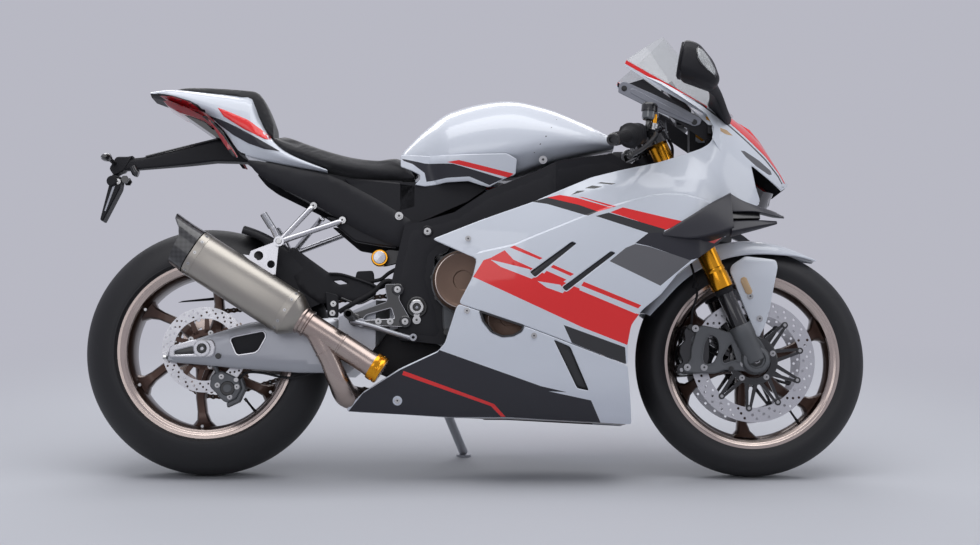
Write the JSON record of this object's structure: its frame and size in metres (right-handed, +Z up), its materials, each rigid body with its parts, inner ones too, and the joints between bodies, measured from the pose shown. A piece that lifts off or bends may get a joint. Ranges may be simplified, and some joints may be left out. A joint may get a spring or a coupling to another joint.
{
  "type": "sport bike",
  "caption": "White, red and dark grey sport bike leaning on its side stand, with full fairing, gold fork and bronze wheels.",
  "frame": {"origin": "centre of the overall box at ground level", "axes": "+X forwards along the bike, +Z up, +Y to the bike's left; the bike leans to +Y on its side stand"},
  "size_m": [2.0378, 0.7775, 1.1482],
  "materials": {
    "tyre": "matte",
    "bronze_wheel": "satin",
    "white_panels": "gloss",
    "dark_panels": "satin",
    "black_frame": "matte",
    "black_parts": "matte",
    "silver_arm": "satin",
    "machined": "satin",
    "steel": "brushed",
    "titanium": "brushed",
    "gold_fork": "satin",
    "bronze_cover": "satin",
    "seat_black": "matte",
    "smoked_screen": "clear",
    "red_lens": "gloss",
    "grey_lens": "clear",
    "rubber_black": "matte"
  },
  "bodies": {
    "chassis": {"rear_axle": "steel", "head_tube": "black_frame", "frame_spar_right": "black_frame", "frame_spar_left": "black_frame", "engine_block": "machined", "engine_covers_right": "bronze_cover", "radiator": "black_parts", "exhaust_pipes": "steel", "silencer": "titanium", "silencer_end_cap": "black_parts", "swingarm_right": "silver_arm", "swingarm_left": "silver_arm", "swingarm_bridge": "silver_arm", "drive_chain": "steel", "rear_caliper": "black_frame", "rear_hugger": "black_parts", "rear_shock": "gold_fork", "fuel_tank": "white_panels", "rider_seat": "seat_black", "tail_cowl": "white_panels", "passenger_seat": "seat_black", "tail_light": "red_lens", "subframe": "black_parts", "plate_holder": "black_parts", "rearset_right": "black_frame", "rearset_left": "black_frame", "peg_bracket_right": "machined", "peg_bracket_left": "machined", "side_fairing_right": "white_panels", "side_fairing_left": "white_panels", "belly_pan_right": "dark_panels", "belly_pan_left": "dark_panels", "nose_cowl": "white_panels", "windscreen": "smoked_screen", "headlight": "grey_lens", "cowl_stay": "black_parts", "mirror_right": "black_parts", "mirror_left": "black_parts", "winglet_right": "dark_panels", "winglet_left": "dark_panels", "side_stand_bracket": "black_frame"},
    "steering": {"fork_outer_tubes": "gold_fork", "fork_lowers": "machined", "lower_clamp": "machined", "upper_clamp": "machined", "handlebars": "black_frame", "grips": "rubber_black", "brake_lever": "black_frame", "clutch_lever": "black_frame", "front_calipers": "black_frame", "front_fender": "white_panels", "front_axle": "steel"},
    "front_wheel": {"front_tyre": "tyre", "front_rim": "bronze_wheel", "front_brake_discs": "steel"},
    "rear_wheel": {"rear_tyre": "tyre", "rear_rim": "bronze_wheel", "rear_brake_disc": "steel", "rear_sprocket": "machined"},
    "side_stand": {"side_stand_leg": "black_frame"}
  },
  "joints": [
    {"name": "steering_turn", "type": "hinge", "parent": "chassis", "child": "steering", "pos_m": [0.6916, -0.12774, 0.2841], "axis": [-0.4067, 0.179, 0.8958], "range_deg": [-25, 25]},
    {"name": "front_wheel_roll", "type": "hinge", "parent": "steering", "child": "front_wheel", "pos_m": [0.719, -0.12535, 0.29607], "axis": [0, 0.9806, -0.1959], "continuous": true},
    {"name": "rear_wheel_roll", "type": "hinge", "parent": "chassis", "child": "rear_wheel", "pos_m": [-0.697, -0.12104, 0.31764], "axis": [0, 0.9806, -0.1959], "continuous": true},
    {"name": "stand_fold", "type": "hinge", "parent": "chassis", "child": "side_stand", "pos_m": [-0.093, 0.00313, 0.17351], "axis": [0.2762, 0.8205, 0.5005], "range_deg": [0, 105]}
  ]
}
